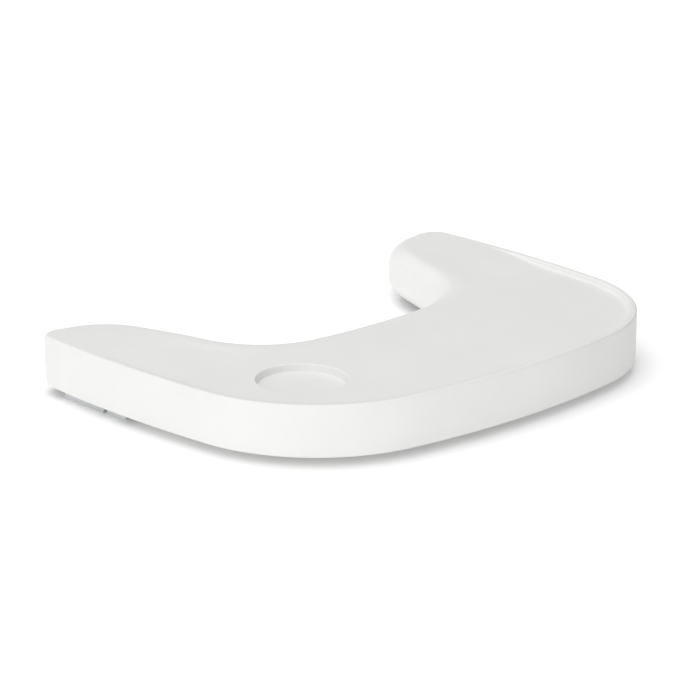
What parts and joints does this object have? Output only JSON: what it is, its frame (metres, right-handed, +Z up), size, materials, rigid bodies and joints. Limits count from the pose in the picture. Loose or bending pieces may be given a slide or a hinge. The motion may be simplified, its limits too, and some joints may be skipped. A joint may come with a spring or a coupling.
{
  "type": "high chair tray",
  "caption": "U-shaped high chair tray with a raised rim and a cup recess; sprung latches under the arms clip it onto a chair's side rails.",
  "frame": {"origin": "centre of the footprint, on the surface that the tray stands on", "axes": "+X to the tray's right, +Y towards the seated child, +Z up"},
  "size_m": [0.5, 0.368, 0.055],
  "materials": {
    "shell_white": "satin moulded ABS",
    "cover_white": "fine matt moulded ABS",
    "clip_grey": "fine matt moulded nylon",
    "lever_grey": "satin moulded acetal",
    "soft_grey": "soft matt elastomer",
    "foot_rubber": "matt rubber",
    "steel": "zinc plated",
    "spring_steel": "drawn wire"
  },
  "bodies": {
    "tray": {"top_shell": "shell_white", "bottom_cover": "cover_white", "foot_screws": "steel", "cover_screws": "steel", "clip_housing_left": "clip_grey", "clip_ears_left": "clip_grey", "clip_guard_left": "clip_grey", "rail_liner_left": "soft_grey", "rail_buffer_left": "soft_grey", "latch_pin_left": "steel", "pin_clip_left": "steel", "latch_spring_left": "spring_steel", "foot_strip_left": "foot_rubber", "front_foot_left": "foot_rubber", "housing_screws_left": "steel", "clip_housing_right": "clip_grey", "clip_ears_right": "clip_grey", "clip_guard_right": "clip_grey", "rail_liner_right": "soft_grey", "rail_buffer_right": "soft_grey", "latch_pin_right": "steel", "pin_clip_right": "steel", "latch_spring_right": "spring_steel", "foot_strip_right": "foot_rubber", "front_foot_right": "foot_rubber", "housing_screws_right": "steel"},
    "latch_left": {"latch_lever_left": "lever_grey", "lever_grip_left": "soft_grey"},
    "latch_right": {"latch_lever_right": "lever_grey", "lever_grip_right": "soft_grey"}
  },
  "joints": [
    {"name": "left_latch", "type": "hinge", "parent": "tray", "child": "latch_left", "pos_m": [-0.226, 0.076, 0.023], "axis": [0, 1, 0], "range_deg": [0, 21], "stiffness_Nm_per_rad": 0.15, "springref_deg": -8.59, "deforming": ["latch_spring_left"]},
    {"name": "right_latch", "type": "hinge", "parent": "tray", "child": "latch_right", "pos_m": [0.226, 0.076, 0.023], "axis": [0, -1, 0], "range_deg": [0, 21], "stiffness_Nm_per_rad": 0.15, "springref_deg": -8.59, "deforming": ["latch_spring_right"]}
  ]
}
